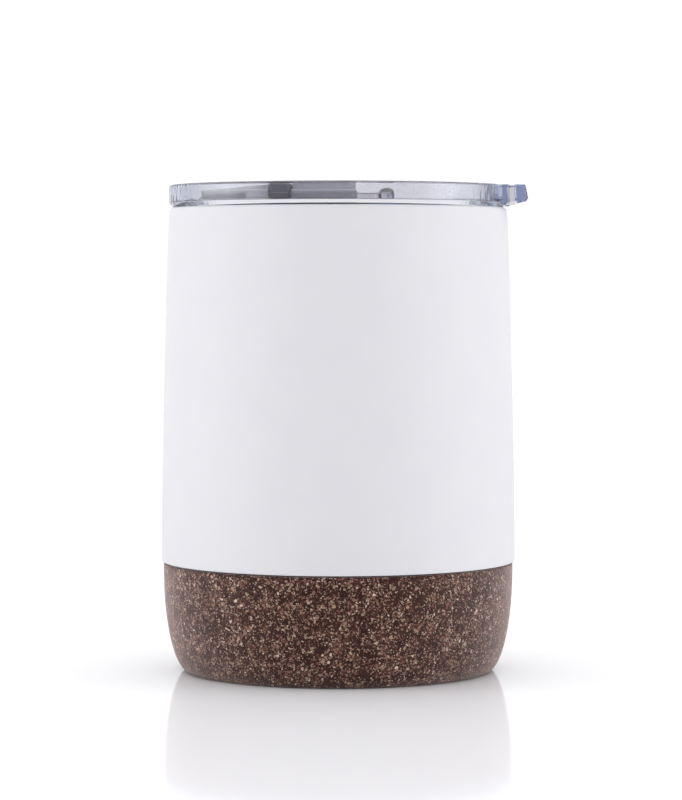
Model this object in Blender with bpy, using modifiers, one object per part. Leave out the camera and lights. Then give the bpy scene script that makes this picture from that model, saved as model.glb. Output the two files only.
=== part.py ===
"""Vacuum-insulated travel tumbler: white steel cup, cork base and clear press-in lid.

Metres, +Z up. The origin is on the cup's axis, on the surface that it stands on. The lid's
thumb tab points along +X, and its sip opening and the slider that shuts it are on the -X side.
"""

from math import atan2, cos, pi, sin, sqrt, tan, tau

import bmesh
import bpy
from mathutils import Vector

# Facets and gaps
TURNED_STEPS = 48
ARC_STEPS = 3
MERGE = 0.00001
GAP = 0.0003

# Heights of the cup, from the resting surface up
CORK_FLOOR_TOP = 0.0030
SHELL_BOTTOM = 0.0047
SHELL_STEP = 0.0228
RIM_TOP = 0.0959
LINER_FLOOR = 0.0135

# Outer shell
SHELL_RADIUS = 0.0367
SHELL_WALL = 0.0008
SHELL_TAPER_START = 0.0240
SHELL_TAPER_END = 0.0926
SHELL_MOUTH_INSET = 0.00163
SHELL_SPIGOT_RADIUS = 0.0329
RIM_OUTER_RADIUS = 0.03485
RIM_SEAM_RADIUS = 0.0333
SHELL_RINGS = 7
RIM_ROUND = 0.0006
STEP_ROUND = 0.0004
FOLD_ROUND = 0.0003

# Inner liner
LINER_WALL = 0.0007
LINER_MOUTH_RADIUS = 0.0319
LINER_FLOOR_RADIUS = 0.0290
LINER_CORNER = 0.0070
LINER_LIP_ROUND = 0.0010

# Bottom plate, its evacuation port and the getter on it
PLATE_RADIUS = SHELL_SPIGOT_RADIUS - SHELL_WALL - GAP
PLATE_FLANGE_TOP = 0.0080
PLATE_ROUND = 0.0012
DIMPLE_RADIUS = 0.0065
DIMPLE_DEPTH = 0.0023
DIMPLE_DRAFT = 0.0015
PORT_HOLE_RADIUS = 0.0008
PORT_SEAL_RADIUS = 0.0036
PORT_SEAL_HEIGHT = 0.0012
GETTER_OFFSET = 0.0170
GETTER_CUP_RADIUS = 0.0045
GETTER_CUP_HEIGHT = 0.0026
GETTER_CUP_WALL = 0.0004

# Cork base and the adhesive under the steel
CORK_RADIUS = 0.03625
CORK_BORE = SHELL_SPIGOT_RADIUS + GAP
CORK_TOP = SHELL_STEP - GAP
CORK_CURVE_TOP = 0.0210
CORK_CURVE_INSET = 0.0051
CORK_CURVE_STEPS = 7
CORK_BORE_ROUND = 0.0015
CORK_EDGE_ROUND = 0.00025
PAD_RADIUS = 0.0300

# Lid
LID_RADIUS = 0.03505
LID_TOP = 0.10055
LID_BAND_BOTTOM = 0.09685
LID_UNDERSIDE = RIM_TOP + GAP
LID_SEAT_RADIUS = 0.0341
LID_RECESS_RADIUS = 0.0323
LID_FLOOR_TOP = 0.0969
LID_FLOOR_BOTTOM = 0.0953
LID_OUTER_ROUND = 0.00045
LID_INNER_ROUND = 0.0005
LID_CORNER_ROUND = 0.0008
SKIRT_RADIUS = 0.0310
SKIRT_BORE = 0.0287
SKIRT_BOTTOM = 0.0875
SKIRT_END_ROUND = 0.0005
GROOVE_RADIUS = 0.0296
GROOVE_BOTTOM = 0.0896
GROOVE_TOP = 0.0924
GASKET_RADIUS = 0.03142
GASKET_NECK_RADIUS = 0.0309

# Thumb tab
TAB_REACH = 0.0389
TAB_ROOT_X = 0.0330
TAB_ROOT_HALF_WIDTH = 0.0103
TAB_SHOULDER_X = 0.03495
TAB_SHOULDER_HALF_WIDTH = 0.01025
TAB_SHOULDER_ROUND = 0.0020
TAB_TIP_HALF_WIDTH = 0.0096
TAB_TIP_CORNER = 0.0010
TAB_TOP = LID_TOP - 0.0001
TAB_UNDERSIDE_ROOT = 0.0963
TAB_UNDERSIDE_TIP = 0.0972
TAB_BEVEL = 0.0005
POCKET_START_X = 0.03445
POCKET_END_X = 0.0364
POCKET_HALF_WIDTH = 0.0070
POCKET_CORNER = 0.0005
POCKET_ROOF = 0.0005

# Openings in the lid's floor
SIP_X = -0.0235
SIP_LENGTH = 0.0070
SIP_WIDTH = 0.0160
SIP_CORNER = 0.0034
SLOT_CORNER = 0.0005
VENT_X = 0.0210
VENT_RADIUS = 0.0010
VENT_CORNER = 0.00098
RAIL_START_X = -0.0140
RAIL_END_X = 0.0096
RAIL_WIDTH = 0.0012
RAIL_TOP = 0.0983
RAIL_ROUND = 0.0003
POST_X = 0.0099
POST_Y = 0.0119
POST_RADIUS = 0.0014
POST_CORNER = 0.00137
POST_TOP = 0.0996

# Slider, along X, with the sip opening shut
SLIDER_TRAVEL = 0.0130
SLIDER_NOSE_X = -0.0286
SLIDER_TAIL_X = 0.0040
SLIDER_HALF_WIDTH = 0.0100
SLIDER_BOTTOM = LID_FLOOR_TOP + GAP
SLIDER_TOP = 0.0990
SLIDER_NOSE_ROUND = 0.0080
SLIDER_TAIL_ROUND = 0.0030
RAMP_START_X = -0.0265
RAMP_END_X = -0.0130
RAMP_LOW = 0.0989
RAMP_HIGH = 0.1000
RAMP_NOSE_ROUND = 0.0030
RAMP_ROUND = 0.0010
GRIP_START_X = -0.0094
GRIP_HALF_WIDTH = 0.0080
GRIP_TOP = 0.1004
GRIP_ROUND = 0.0024
SEAL_START_X = -0.0280
SEAL_END_X = -0.0190
SEAL_HALF_WIDTH = 0.0090
SEAL_HEIGHT = 0.0008
SEAL_NOSE_ROUND = 0.0066
SEAL_TAIL_ROUND = 0.0020
STEM_START_X = -0.0135
STEM_END_X = -0.0095
STEM_HALF_WIDTH = 0.0025
STEM_ROUND = 0.0004
BAR_START_X = -0.0140
BAR_END_X = -0.0097
BAR_HALF_WIDTH = 0.0097
BAR_BOTTOM = 0.0983
BAR_TOP = 0.1002
BAR_ROUND = 0.0009
FOOT_INNER_Y = 0.0063
FOOT_BOTTOM = 0.0975
FOOT_ROUND = 0.0004
CLIP_START_X = -0.0175
CLIP_END_X = -0.0055
CLIP_HALF_WIDTH = 0.0060
CLIP_HEIGHT = 0.0016
CLIP_ROUND = 0.0020


# ---------------------------------------------------------------- scene and materials


def clear_scene():
    for obj in list(bpy.data.objects):
        bpy.data.objects.remove(obj, do_unlink=True)


def new_collection(name):
    collection = bpy.data.collections.new(name)
    bpy.context.scene.collection.children.link(collection)
    return collection


def new_material(name, colour, roughness, metallic=0.0, alpha=1.0):
    material = bpy.data.materials.new(name)
    material.use_nodes = True
    material.diffuse_color = (*colour, alpha)
    shader = material.node_tree.nodes["Principled BSDF"]
    shader.inputs["Base Color"].default_value = (*colour, 1.0)
    shader.inputs["Roughness"].default_value = roughness
    shader.inputs["Metallic"].default_value = metallic
    shader.inputs["Alpha"].default_value = alpha
    return material


# ---------------------------------------------------------------- outlines


def rounded(corners, closed=False):
    """A polyline through corners, each (a, b) or (a, b, fillet radius), with its fillets drawn."""
    points = []
    count = len(corners)
    for i, corner in enumerate(corners):
        here = Vector(corner[:2])
        fillet = corner[2] if len(corner) > 2 else 0.0
        at_end = not closed and i in (0, count - 1)
        if fillet == 0.0 or at_end:
            points.append(here)
            continue
        before = Vector(corners[i - 1][:2]) - here
        after = Vector(corners[(i + 1) % count][:2]) - here
        half_angle = before.angle(after) / 2
        reach = fillet / tan(half_angle)
        middle = (before.normalized() + after.normalized()).normalized()
        centre = here + middle * (fillet / sin(half_angle))
        first = here + before.normalized() * reach - centre
        last = here + after.normalized() * reach - centre
        turn = atan2(first.x * last.y - first.y * last.x, first.dot(last))
        for step in range(ARC_STEPS + 1):
            angle = turn * step / ARC_STEPS
            offset = (
                first.x * cos(angle) - first.y * sin(angle),
                first.x * sin(angle) + first.y * cos(angle),
            )
            points.append(centre + Vector(offset))
    return points


def rectangle(low_x, high_x, half_width, fillet, low_fillet=None):
    """Corners of a rectangle about the X axis. The end at low_x may have its own fillet."""
    start = fillet if low_fillet is None else low_fillet
    return [
        (low_x, -half_width, start),
        (high_x, -half_width, fillet),
        (high_x, half_width, fillet),
        (low_x, half_width, start),
    ]


def moved(corners, across):
    """The same corners moved along Y."""
    return [(x, y + across, fillet) for x, y, fillet in corners]


def between(low, high, count):
    """count values spread evenly from low to high, both included."""
    return [low + (high - low) * i / (count - 1) for i in range(count)]


# ---------------------------------------------------------------- making pieces


def add_object(name, mesh, material, collection):
    obj = bpy.data.objects.new(name, mesh)
    collection.objects.link(obj)
    if material is not None:
        mesh.materials.append(material)
    return obj


def make_helper(obj):
    """A solid that only cuts or joins another, so it isn't a piece itself."""
    obj.hide_render = True
    obj.display_type = "WIRE"
    return obj


def smooth(mesh):
    mesh.shade_smooth()
    mesh.set_sharp_from_angle(angle=pi / 6)


def turned(name, outline, material, collection, closed=True):
    """A solid turned about Z. The outline runs down its outer side, and closes or ends on the axis."""
    mesh = bpy.data.meshes.new(name)
    points = [(point[0], 0.0, point[1]) for point in outline]
    edges = [(i, i + 1) for i in range(len(points) - 1)]
    if closed:
        edges.append((len(points) - 1, 0))
    mesh.from_pydata(points, edges, [])
    obj = add_object(name, mesh, material, collection)
    screw = obj.modifiers.new("Turn", "SCREW")
    screw.angle = tau
    screw.steps = TURNED_STEPS
    screw.render_steps = TURNED_STEPS
    screw.use_merge_vertices = True
    screw.merge_threshold = MERGE
    screw.use_smooth_shade = True
    return obj


def plate(name, corners, bottom, top, material, collection):
    """A flat outline with rounded corners, filled between two heights."""
    curve = bpy.data.curves.new(name, "CURVE")
    curve.dimensions = "2D"
    curve.fill_mode = "BOTH"
    curve.extrude = (top - bottom) / 2
    spline = curve.splines.new("POLY")
    outline = rounded(corners, closed=True)
    spline.points.add(len(outline) - 1)
    for point, place in zip(spline.points, outline):
        point.co = (place.x, place.y, 0.0, 1.0)
    spline.use_cyclic_u = True
    outlined = bpy.data.objects.new(name, curve)
    outlined.location.z = (bottom + top) / 2
    collection.objects.link(outlined)
    bpy.context.view_layer.update()

    evaluated = outlined.evaluated_get(bpy.context.evaluated_depsgraph_get())
    mesh = bpy.data.meshes.new_from_object(evaluated)
    weld(mesh)
    place = outlined.matrix_world.copy()
    bpy.data.objects.remove(outlined)
    obj = add_object(name, mesh, material, collection)
    obj.matrix_world = place
    return obj


def weld(mesh):
    shape = bmesh.new()
    shape.from_mesh(mesh)
    bmesh.ops.remove_doubles(shape, verts=shape.verts, dist=MERGE)
    bmesh.ops.recalc_face_normals(shape, faces=shape.faces)
    shape.to_mesh(mesh)
    shape.free()


def combine(target, other, operation):
    boolean = target.modifiers.new(other.name, "BOOLEAN")
    boolean.operation = operation
    boolean.solver = "EXACT"
    boolean.object = make_helper(other)


# ---------------------------------------------------------------- the cup


def shell_radius(z):
    """Outer radius of the white wall, upright at the base and drawn in towards the mouth."""
    rise = max(0.0, z - SHELL_TAPER_START) / (RIM_TOP - SHELL_TAPER_START)
    return SHELL_RADIUS - SHELL_MOUTH_INSET * rise**1.5


def make_outer_shell(parts):
    heights = between(SHELL_TAPER_END, SHELL_TAPER_START, SHELL_RINGS)
    outside = [(shell_radius(z), z) for z in heights]
    inside = [(radius - SHELL_WALL, z) for radius, z in reversed(outside)]
    corners = [
        (RIM_SEAM_RADIUS, RIM_TOP),
        (RIM_OUTER_RADIUS, RIM_TOP, RIM_ROUND),
        *outside,
        (SHELL_RADIUS, SHELL_STEP, STEP_ROUND),
        (SHELL_SPIGOT_RADIUS, SHELL_STEP, FOLD_ROUND),
        (SHELL_SPIGOT_RADIUS, SHELL_BOTTOM),
        (SHELL_SPIGOT_RADIUS - SHELL_WALL, SHELL_BOTTOM),
        (SHELL_SPIGOT_RADIUS - SHELL_WALL, SHELL_STEP + SHELL_WALL, FOLD_ROUND),
        (SHELL_RADIUS - SHELL_WALL, SHELL_STEP + SHELL_WALL),
        *inside,
        (RIM_OUTER_RADIUS - SHELL_WALL, RIM_TOP - SHELL_WALL, FOLD_ROUND),
        (RIM_SEAM_RADIUS, RIM_TOP - SHELL_WALL),
    ]
    white = new_material("white_powder_coat", (0.82, 0.83, 0.85), 0.42)
    turned("outer_shell", rounded(corners, closed=True), white, parts)


def make_inner_liner(parts):
    lip_edge = RIM_SEAM_RADIUS - GAP
    corners = [
        (0.0, LINER_FLOOR),
        (LINER_FLOOR_RADIUS, LINER_FLOOR, LINER_CORNER),
        (LINER_MOUTH_RADIUS, RIM_TOP, LINER_LIP_ROUND),
        (lip_edge, RIM_TOP),
        (lip_edge, RIM_TOP - LINER_WALL),
        (LINER_MOUTH_RADIUS + LINER_WALL, RIM_TOP - LINER_WALL, FOLD_ROUND),
        (LINER_FLOOR_RADIUS + LINER_WALL, LINER_FLOOR - LINER_WALL, LINER_CORNER + LINER_WALL),
        (0.0, LINER_FLOOR - LINER_WALL),
    ]
    steel = new_material("brushed_liner_steel", (0.62, 0.62, 0.61), 0.30, metallic=1.0)
    turned("inner_liner", rounded(corners), steel, parts, closed=False)


def make_bottom_plate(parts):
    wall = SHELL_WALL
    dimple_top = SHELL_BOTTOM + DIMPLE_DEPTH
    corners = [
        (PLATE_RADIUS, PLATE_FLANGE_TOP),
        (PLATE_RADIUS, SHELL_BOTTOM, PLATE_ROUND),
        (DIMPLE_RADIUS, SHELL_BOTTOM),
        (DIMPLE_RADIUS - DIMPLE_DRAFT, dimple_top),
        (PORT_HOLE_RADIUS, dimple_top),
        (PORT_HOLE_RADIUS, dimple_top + wall),
        (DIMPLE_RADIUS - DIMPLE_DRAFT + wall / 2, dimple_top + wall),
        (DIMPLE_RADIUS + wall / 2, SHELL_BOTTOM + wall),
        (PLATE_RADIUS - wall, SHELL_BOTTOM + wall, PLATE_ROUND - wall),
        (PLATE_RADIUS - wall, PLATE_FLANGE_TOP),
    ]
    steel = new_material("plain_sheet_steel", (0.55, 0.55, 0.54), 0.38, metallic=1.0)
    turned("shell_bottom_plate", rounded(corners, closed=True), steel, parts)


def make_port_seal(parts):
    top = SHELL_BOTTOM + DIMPLE_DEPTH - GAP
    middle = top - PORT_SEAL_HEIGHT / 2
    bottom = top - PORT_SEAL_HEIGHT
    corners = [
        (0.0, top),
        (PORT_SEAL_RADIUS, top),
        (PORT_SEAL_RADIUS, middle),
        (PORT_SEAL_RADIUS / 2, bottom),
        (0.0, bottom),
    ]
    solder_glass = new_material("solder_glass", (0.20, 0.22, 0.24), 0.25)
    turned("vacuum_port_seal", rounded(corners), solder_glass, parts, closed=False)


def make_getter(parts):
    low = SHELL_BOTTOM + SHELL_WALL + GAP
    high = low + GETTER_CUP_HEIGHT
    bore = GETTER_CUP_RADIUS - GETTER_CUP_WALL
    corners = [
        (0.0, low + GETTER_CUP_WALL),
        (bore, low + GETTER_CUP_WALL),
        (bore, high),
        (GETTER_CUP_RADIUS, high),
        (GETTER_CUP_RADIUS, low),
        (0.0, low),
    ]
    nickel = new_material("nickel_strip", (0.50, 0.48, 0.44), 0.35, metallic=1.0)
    cup = turned("getter_cup", rounded(corners), nickel, parts, closed=False)
    cup.location.x = GETTER_OFFSET

    pellet_low = low + GETTER_CUP_WALL + GAP
    pellet_high = high - GAP
    bpy.ops.mesh.primitive_cylinder_add(
        vertices=TURNED_STEPS // 2,
        radius=bore - GAP,
        depth=pellet_high - pellet_low,
        location=(GETTER_OFFSET, 0.0, (pellet_low + pellet_high) / 2),
    )
    pellet = bpy.context.active_object
    pellet.name = "getter_pellet"
    pellet.data.name = "getter_pellet"
    for collection in pellet.users_collection:
        collection.objects.unlink(pellet)
    parts.objects.link(pellet)
    pellet.data.materials.append(new_material("getter_alloy", (0.12, 0.12, 0.13), 0.7))
    smooth(pellet.data)


def make_cork_base(parts):
    curve = []
    for z in between(CORK_CURVE_TOP, 0.0, CORK_CURVE_STEPS):
        drop = (CORK_CURVE_TOP - z) / CORK_CURVE_TOP
        curve.append((CORK_RADIUS - CORK_CURVE_INSET * (1 - sqrt(1 - drop * drop)), z))
    corners = [
        (0.0, CORK_FLOOR_TOP),
        (CORK_BORE, CORK_FLOOR_TOP, CORK_BORE_ROUND),
        (CORK_BORE, CORK_TOP),
        (CORK_RADIUS, CORK_TOP, CORK_EDGE_ROUND),
        *curve,
        (0.0, 0.0),
    ]
    cork = new_material("cork_composite", (0.085, 0.050, 0.036), 0.78)
    turned("cork_base", rounded(corners), cork, parts, closed=False)


def make_adhesive_pad(parts):
    low = CORK_FLOOR_TOP + GAP
    high = SHELL_BOTTOM - GAP
    corners = [(0.0, high), (PAD_RADIUS, high), (PAD_RADIUS, low), (0.0, low)]
    adhesive = new_material("adhesive", (0.75, 0.72, 0.62), 0.5)
    turned("base_adhesive_pad", rounded(corners), adhesive, parts, closed=False)


# ---------------------------------------------------------------- the lid


def make_tab(material, helpers):
    """The thumb tab: a rounded tongue whose underside climbs towards its tip."""
    corners = [
        (TAB_ROOT_X, -TAB_ROOT_HALF_WIDTH),
        (TAB_SHOULDER_X, -TAB_SHOULDER_HALF_WIDTH, TAB_SHOULDER_ROUND),
        (TAB_REACH, -TAB_TIP_HALF_WIDTH, TAB_TIP_CORNER),
        (TAB_REACH, TAB_TIP_HALF_WIDTH, TAB_TIP_CORNER),
        (TAB_SHOULDER_X, TAB_SHOULDER_HALF_WIDTH, TAB_SHOULDER_ROUND),
        (TAB_ROOT_X, TAB_ROOT_HALF_WIDTH),
    ]
    tab = plate("tab_tongue", corners, TAB_UNDERSIDE_ROOT, TAB_TOP, material, helpers)
    climb = (TAB_UNDERSIDE_TIP - TAB_UNDERSIDE_ROOT) / (TAB_REACH - LID_RADIUS)
    for vertex in tab.data.vertices:
        if vertex.co.z < 0.0:
            vertex.co.z += climb * max(0.0, vertex.co.x - LID_RADIUS)
    bevel = tab.modifiers.new("Soft edge", "BEVEL")
    bevel.width = TAB_BEVEL
    bevel.segments = 1
    bevel.limit_method = "ANGLE"
    bevel.angle_limit = pi / 3
    return tab


def make_lid_body(parts, helpers):
    corners = [
        (0.0, LID_FLOOR_TOP),
        (LID_RECESS_RADIUS, LID_FLOOR_TOP, LID_CORNER_ROUND),
        (LID_RECESS_RADIUS, LID_TOP, LID_INNER_ROUND),
        (LID_RADIUS, LID_TOP, LID_OUTER_ROUND),
        (LID_RADIUS, LID_BAND_BOTTOM),
        (LID_SEAT_RADIUS, LID_UNDERSIDE),
        (SKIRT_RADIUS, LID_UNDERSIDE),
        (SKIRT_RADIUS, GROOVE_TOP),
        (GROOVE_RADIUS, GROOVE_TOP),
        (GROOVE_RADIUS, GROOVE_BOTTOM),
        (SKIRT_RADIUS, GROOVE_BOTTOM),
        (SKIRT_RADIUS, SKIRT_BOTTOM, SKIRT_END_ROUND),
        (SKIRT_BORE, SKIRT_BOTTOM, SKIRT_END_ROUND),
        (SKIRT_BORE, LID_FLOOR_BOTTOM, LID_CORNER_ROUND),
        (0.0, LID_FLOOR_BOTTOM),
    ]
    clear = new_material("clear_plastic", (0.80, 0.83, 0.90), 0.05, alpha=0.35)
    lid = turned("lid_body", rounded(corners), clear, parts, closed=False)
    combine(lid, make_tab(clear, helpers), "UNION")

    rail_centre = SLIDER_HALF_WIDTH + GAP + RAIL_WIDTH / 2
    rail_outline = rectangle(RAIL_START_X, RAIL_END_X, RAIL_WIDTH / 2, RAIL_ROUND)
    post_outline = rectangle(POST_X - POST_RADIUS, POST_X + POST_RADIUS, POST_RADIUS, POST_CORNER)
    low = LID_FLOOR_TOP - GAP
    for side in (-1, 1):
        rail = plate("rail", moved(rail_outline, side * rail_centre), low, RAIL_TOP, clear, helpers)
        combine(lid, rail, "UNION")
        post = plate("rail_post", moved(post_outline, side * POST_Y), low, POST_TOP, clear, helpers)
        combine(lid, post, "UNION")

    cut_bottom = LID_FLOOR_BOTTOM - GAP
    cut_top = LID_FLOOR_TOP + GAP
    sip_low = SIP_X - SIP_LENGTH / 2
    sip_high = SIP_X + SIP_LENGTH / 2
    sip = rectangle(sip_low, sip_high, SIP_WIDTH / 2, SIP_CORNER)
    combine(lid, plate("sip_cutter", sip, cut_bottom, cut_top, None, helpers), "DIFFERENCE")

    slot_end = STEM_END_X + SLIDER_TRAVEL + GAP
    slot = rectangle(STEM_START_X - GAP, slot_end, STEM_HALF_WIDTH + GAP, SLOT_CORNER)
    combine(lid, plate("slot_cutter", slot, cut_bottom, cut_top, None, helpers), "DIFFERENCE")

    vent = rectangle(VENT_X - VENT_RADIUS, VENT_X + VENT_RADIUS, VENT_RADIUS, VENT_CORNER)
    combine(lid, plate("vent_cutter", vent, cut_bottom, cut_top, None, helpers), "DIFFERENCE")

    pocket = rectangle(POCKET_START_X, POCKET_END_X, POCKET_HALF_WIDTH, POCKET_CORNER)
    roof = TAB_TOP - POCKET_ROOF
    combine(lid, plate("pocket_cutter", pocket, RIM_TOP, roof, None, helpers), "DIFFERENCE")


def make_lid_gasket(parts):
    """A silicone ring with two soft lips, in the groove round the lid's skirt."""
    bore = GROOVE_RADIUS + GAP
    low = GROOVE_BOTTOM + GAP
    high = GROOVE_TOP - GAP
    middle = (low + high) / 2
    neck = GASKET_NECK_RADIUS
    lip = (high - low) / 4
    corners = [
        (bore, high),
        (neck, high),
        (GASKET_RADIUS, high - lip),
        (neck, middle),
        (GASKET_RADIUS, low + lip),
        (neck, low),
        (bore, low),
    ]
    silicone = new_material("clear_silicone", (0.80, 0.81, 0.82), 0.45, alpha=0.8)
    turned("lid_gasket", rounded(corners, closed=True), silicone, parts)


# ---------------------------------------------------------------- the slider


def stem_outline(room):
    """The stem's footprint, or with room round it that of its hole in the slider."""
    return rectangle(STEM_START_X - room, STEM_END_X + room, STEM_HALF_WIDTH + room, STEM_ROUND)


def make_slider(parts, helpers):
    smoke = new_material("smoky_plastic", (0.42, 0.44, 0.49), 0.12, alpha=0.7)
    outline = rectangle(
        SLIDER_NOSE_X, SLIDER_TAIL_X, SLIDER_HALF_WIDTH, SLIDER_TAIL_ROUND, SLIDER_NOSE_ROUND
    )
    slider = plate("lid_slider", outline, SLIDER_BOTTOM, SLIDER_TOP, smoke, parts)

    combine(slider, make_ramp(smoke, helpers), "UNION")

    grip = rectangle(GRIP_START_X, SLIDER_TAIL_X - GAP, GRIP_HALF_WIDTH, GRIP_ROUND)
    grip_bottom = SLIDER_TOP - 2 * GAP
    combine(slider, plate("grip_block", grip, grip_bottom, GRIP_TOP, smoke, helpers), "UNION")

    below = SLIDER_BOTTOM - GAP
    above = SLIDER_TOP + GAP
    hole = plate("stem_hole", stem_outline(GAP), below, above, None, helpers)
    combine(slider, hole, "DIFFERENCE")

    channel = rectangle(BAR_START_X - GAP, BAR_END_X + GAP, SLIDER_HALF_WIDTH + GAP, 0.0)
    channel_floor = BAR_BOTTOM - GAP
    channel_top = BAR_TOP + GAP
    cutter = plate("bar_channel", channel, channel_floor, channel_top, None, helpers)
    combine(slider, cutter, "DIFFERENCE")

    notch_half = (SLIDER_HALF_WIDTH + GAP - FOOT_INNER_Y + GAP) / 2
    notch_centre = SLIDER_HALF_WIDTH + GAP - notch_half
    notch = rectangle(BAR_START_X - GAP, BAR_END_X + GAP, notch_half, 0.0)
    for side in (-1, 1):
        corners = moved(notch, side * notch_centre)
        cutter = plate("foot_notch", corners, below, BAR_BOTTOM, None, helpers)
        combine(slider, cutter, "DIFFERENCE")

    seal_top = SLIDER_BOTTOM + SEAL_HEIGHT + GAP
    recess = plate("seal_recess", seal_outline(GAP), below, seal_top, None, helpers)
    combine(slider, recess, "DIFFERENCE")


def make_ramp(material, helpers):
    """The rise from the slider's thin nose up to the bar."""
    outline = rectangle(RAMP_START_X, RAMP_END_X, GRIP_HALF_WIDTH, RAMP_ROUND, RAMP_NOSE_ROUND)
    ramp = plate("nose_ramp", outline, SLIDER_BOTTOM + 2 * GAP, RAMP_HIGH, material, helpers)
    fall = (RAMP_HIGH - RAMP_LOW) / (RAMP_END_X - RAMP_START_X)
    for vertex in ramp.data.vertices:
        if vertex.co.z > 0.0:
            vertex.co.z -= fall * (RAMP_END_X - vertex.co.x)
    return ramp


def seal_outline(room):
    """The seal's footprint, or with room round it the recess that holds it."""
    low = SEAL_START_X - room
    high = SEAL_END_X + room
    return rectangle(low, high, SEAL_HALF_WIDTH + room, SEAL_TAIL_ROUND, SEAL_NOSE_ROUND)


def make_slider_seal(parts):
    silicone = new_material("grey_silicone", (0.45, 0.46, 0.48), 0.5)
    top = SLIDER_BOTTOM + SEAL_HEIGHT
    plate("slider_seal", seal_outline(0.0), SLIDER_BOTTOM, top, silicone, parts)


def make_slider_retainer(parts, helpers):
    """The clip under the lid's floor, with a stem through the slot and slider to a cross bar."""
    dark = new_material("dark_plastic", (0.05, 0.05, 0.07), 0.35)
    top = LID_FLOOR_BOTTOM - GAP
    clip = rectangle(CLIP_START_X, CLIP_END_X, CLIP_HALF_WIDTH, CLIP_ROUND)
    retainer = plate("slider_retainer", clip, top - CLIP_HEIGHT, top, dark, parts)
    stem_top = BAR_TOP - GAP
    stem = plate("stem", stem_outline(0.0), top - CLIP_HEIGHT / 2, stem_top, dark, helpers)
    combine(retainer, stem, "UNION")
    bar = rectangle(BAR_START_X, BAR_END_X, BAR_HALF_WIDTH, BAR_ROUND)
    combine(retainer, plate("cross_bar", bar, BAR_BOTTOM, BAR_TOP, dark, helpers), "UNION")

    foot_half = (BAR_HALF_WIDTH - FOOT_INNER_Y) / 2
    foot = rectangle(BAR_START_X, BAR_END_X, foot_half, FOOT_ROUND)
    for side in (-1, 1):
        corners = moved(foot, side * (FOOT_INNER_Y + foot_half))
        foot_top = BAR_BOTTOM + 2 * GAP
        combine(retainer, plate("bar_foot", corners, FOOT_BOTTOM, foot_top, dark, helpers), "UNION")


def main():
    clear_scene()
    parts = new_collection("travel_tumbler")
    helpers = new_collection("cutters")
    make_outer_shell(parts)
    make_inner_liner(parts)
    make_bottom_plate(parts)
    make_port_seal(parts)
    make_getter(parts)
    make_cork_base(parts)
    make_adhesive_pad(parts)
    make_lid_body(parts, helpers)
    make_lid_gasket(parts)
    make_slider(parts, helpers)
    make_slider_seal(parts)
    make_slider_retainer(parts, helpers)


main()
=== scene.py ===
"""Looks of the insulated travel tumbler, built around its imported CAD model.

Metres, +Z up. The thumb tab points along +X. Places come from the CAD nodes' boxes. What the boxes
can't say, such as a wall's thickness or a fillet, is a named value below.
"""

from math import atan2, cos, hypot, pi, radians, sin, sqrt, tan, tau

import bmesh
import bpy
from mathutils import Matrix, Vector, noise


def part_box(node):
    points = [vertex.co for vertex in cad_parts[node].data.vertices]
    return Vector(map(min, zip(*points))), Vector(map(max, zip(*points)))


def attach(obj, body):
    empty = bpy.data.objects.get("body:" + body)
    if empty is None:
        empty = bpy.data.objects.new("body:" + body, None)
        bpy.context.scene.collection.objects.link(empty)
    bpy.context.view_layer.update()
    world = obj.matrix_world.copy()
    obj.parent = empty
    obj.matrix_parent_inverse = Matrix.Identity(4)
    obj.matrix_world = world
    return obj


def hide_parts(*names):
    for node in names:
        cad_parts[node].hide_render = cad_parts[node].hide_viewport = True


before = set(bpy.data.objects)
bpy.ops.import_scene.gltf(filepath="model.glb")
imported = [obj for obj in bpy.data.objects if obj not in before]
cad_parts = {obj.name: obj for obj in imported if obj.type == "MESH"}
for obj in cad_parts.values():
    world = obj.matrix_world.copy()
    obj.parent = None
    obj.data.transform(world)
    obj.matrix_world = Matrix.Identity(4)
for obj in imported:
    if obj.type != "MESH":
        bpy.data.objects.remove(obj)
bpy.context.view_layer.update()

# ---------------------------------------------------------------- sizes

MM = 0.001
TURNED_STEPS = 256
CORK_STEPS = 640
MERGE = 0.000001
SHARP_ANGLE = 32

# Play between neighbours, how deep a joined part reaches into the next, and how far a cutter
# reaches past what it cuts
GAP = 0.3 * MM
OVERLAP = 0.6 * MM
PAST = 0.3 * MM

shell_low, shell_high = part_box("outer_shell")
liner_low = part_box("inner_liner")[0]
cork_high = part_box("cork_base")[1]
lid_low, lid_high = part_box("lid_body")
gasket_low, gasket_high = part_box("lid_gasket")
slider_low, slider_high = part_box("lid_slider")
seal_low, seal_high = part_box("slider_seal")
clip_low, clip_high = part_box("slider_retainer")

# Steel
RIM_TOP = shell_high.z
SHELL_RADIUS = shell_high.y
SHELL_STEP = cork_high.z + GAP
SHELL_TAPER_START = 24.0 * MM
SHELL_TAPER_END = 92.6 * MM
SHELL_MOUTH_INSET = 1.63 * MM
SHELL_WALL = 0.8 * MM
SPIGOT_RADIUS = 32.9 * MM
RIM_OUTER_RADIUS = 34.85 * MM
RIM_SEAM_RADIUS = 33.15 * MM
RIM_FILLET = 0.6 * MM
SEAM_GAP = 0.02 * MM
STEP_FILLET = 0.35 * MM
BEND_FILLET = 0.3 * MM
SHELL_RINGS = 40
LINER_WALL = 0.7 * MM
LINER_FLOOR = liner_low.z + LINER_WALL
LINER_MOUTH_RADIUS = 31.9 * MM
LINER_FLOOR_RADIUS = 29.0 * MM
LINER_CORNER = 7.0 * MM
LINER_LIP_FILLET = 1.0 * MM
LINER_GRID = 4 * MM

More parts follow.
